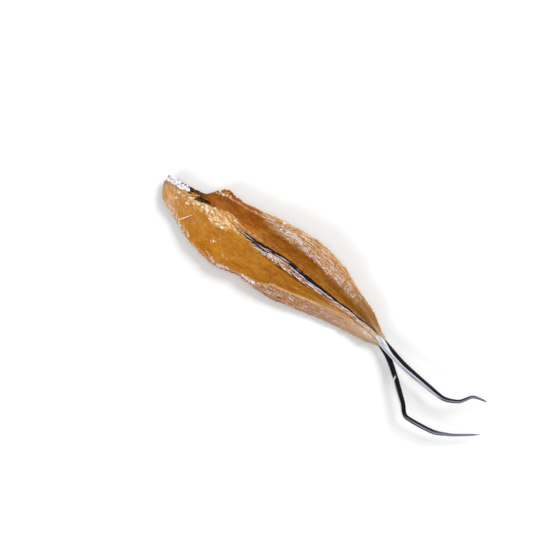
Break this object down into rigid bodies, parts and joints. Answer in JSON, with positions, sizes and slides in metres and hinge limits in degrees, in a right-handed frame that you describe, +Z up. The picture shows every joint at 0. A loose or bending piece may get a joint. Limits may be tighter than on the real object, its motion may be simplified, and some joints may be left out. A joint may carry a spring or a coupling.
{
  "type": "dried sardine",
  "caption": "Small beheaded fish, split open and dried flat, with two hollow amber halves, a dark lining strip along the spine and a long forked tail.",
  "frame": {"origin": "middle of the bounding box in plan, on the surface that the fish lies on", "axes": "+X from the cut neck to the tail, +Y to the higher far belly rim, +Z up from the skin side to the cut flesh"},
  "size_m": [0.174, 0.0406, 0.0112],
  "materials": {
    "dried_flesh": "glossy, translucent amber, frosted in places",
    "spine_lining": "satin black with a bluish edge",
    "tail_fin": "satin blue-black with pale stripes",
    "neck_bone": "matt, crumbly white"
  },
  "bodies": {
    "root": {"dried_sardine": "dried_flesh"}
  },
  "joints": []
}
